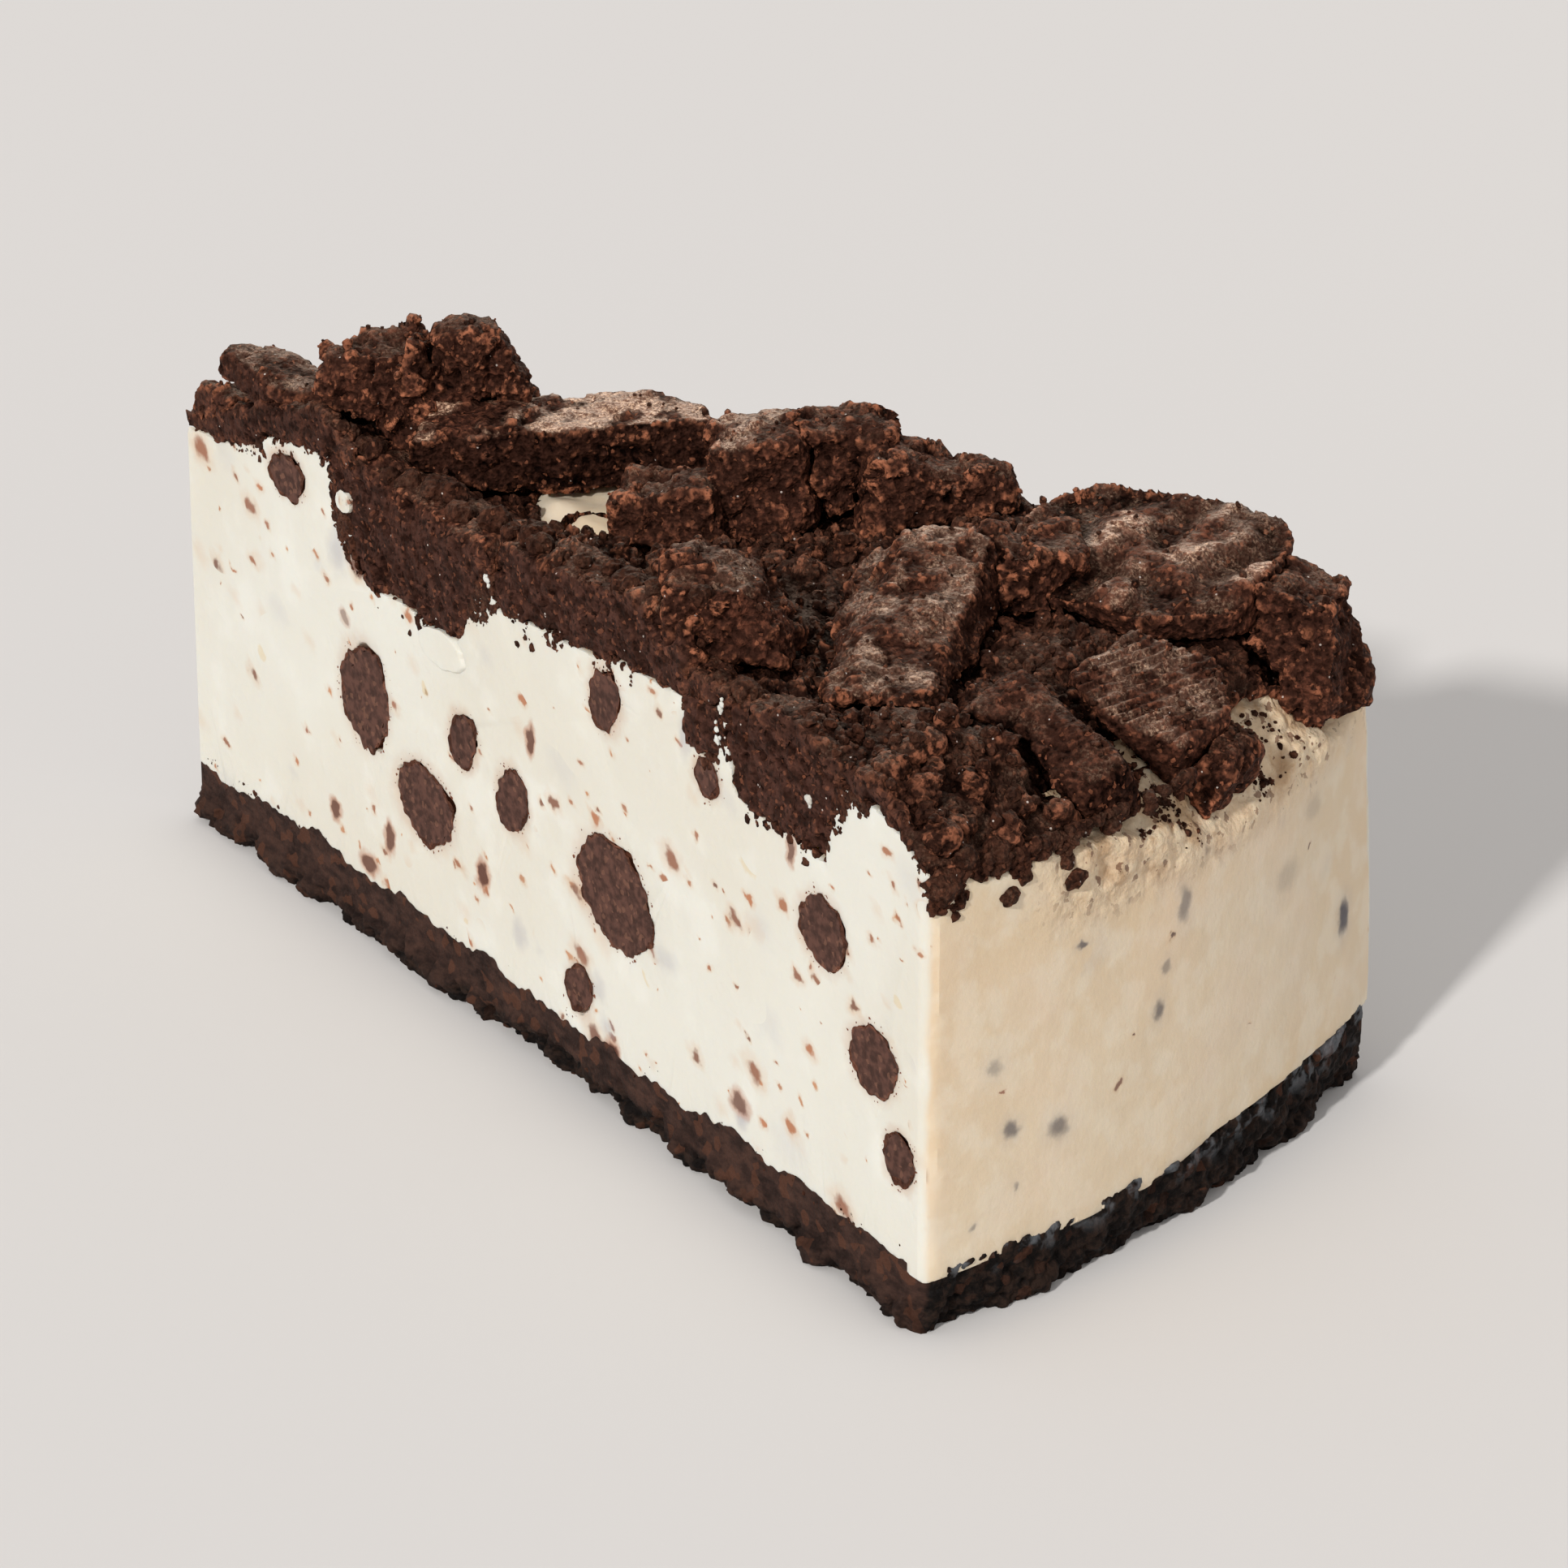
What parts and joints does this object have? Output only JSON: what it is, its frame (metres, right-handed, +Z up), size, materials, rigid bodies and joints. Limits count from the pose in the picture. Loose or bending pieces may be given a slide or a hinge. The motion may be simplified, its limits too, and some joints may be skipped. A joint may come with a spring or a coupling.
{
  "type": "cookies and cream cheesecake",
  "caption": "Cut slice of cheesecake: pale cream filling with dark biscuit bits on a crumb base, topped with broken chocolate biscuit pieces lying in a bed of crumbs.",
  "frame": {"origin": "on the plane that the slice stands on, under its middle line, half the cake's radius from the tip", "axes": "+X along the middle line from the tip to the rim, +Y to the left of it, +Z up"},
  "size_m": [0.1248, 0.0648, 0.0609],
  "materials": {
    "cream": "soft matte, smooth",
    "crust": "rough, crumbly",
    "crumbs": "rough, crumbly",
    "biscuit": "rough, granular",
    "biscuit_bits": "matte, cut flush"
  },
  "bodies": {
    "root": {"filling": "cream", "crust": "crust", "crumb_bed": "crumbs", "biscuit_ridged": "biscuit", "biscuit_embossed": "biscuit", "slab_long": "biscuit", "slab_cut_middle": "biscuit", "chunk_cut_left": "biscuit", "chunk_cut_right": "biscuit", "chunk_cut_small": "biscuit", "chunk_oblong": "biscuit", "chunk_twin_right": "biscuit", "chunk_twin_left": "biscuit", "chunk_upright": "biscuit", "chunk_centre": "biscuit", "chunk_between": "biscuit", "chunk_peak": "biscuit", "chunk_peak_front": "biscuit", "shard_tip": "biscuit", "chunk_back_middle": "biscuit", "chunk_back_left": "biscuit", "chunk_corner": "biscuit", "chunk_rim_low": "biscuit", "chunk_tip": "biscuit", "inclusion_near_01": "biscuit_bits", "inclusion_near_02": "biscuit_bits", "inclusion_near_03": "biscuit_bits", "inclusion_near_04": "biscuit_bits", "inclusion_near_05": "biscuit_bits", "inclusion_near_06": "biscuit_bits", "inclusion_near_07": "biscuit_bits", "inclusion_near_08": "biscuit_bits", "inclusion_near_09": "biscuit_bits", "inclusion_near_10": "biscuit_bits", "inclusion_near_11": "biscuit_bits", "inclusion_near_12": "biscuit_bits", "inclusion_far_01": "biscuit_bits", "inclusion_far_02": "biscuit_bits", "inclusion_far_03": "biscuit_bits", "inclusion_far_04": "biscuit_bits", "inclusion_far_05": "biscuit_bits", "inclusion_far_06": "biscuit_bits", "inclusion_far_07": "biscuit_bits"}
  },
  "joints": []
}
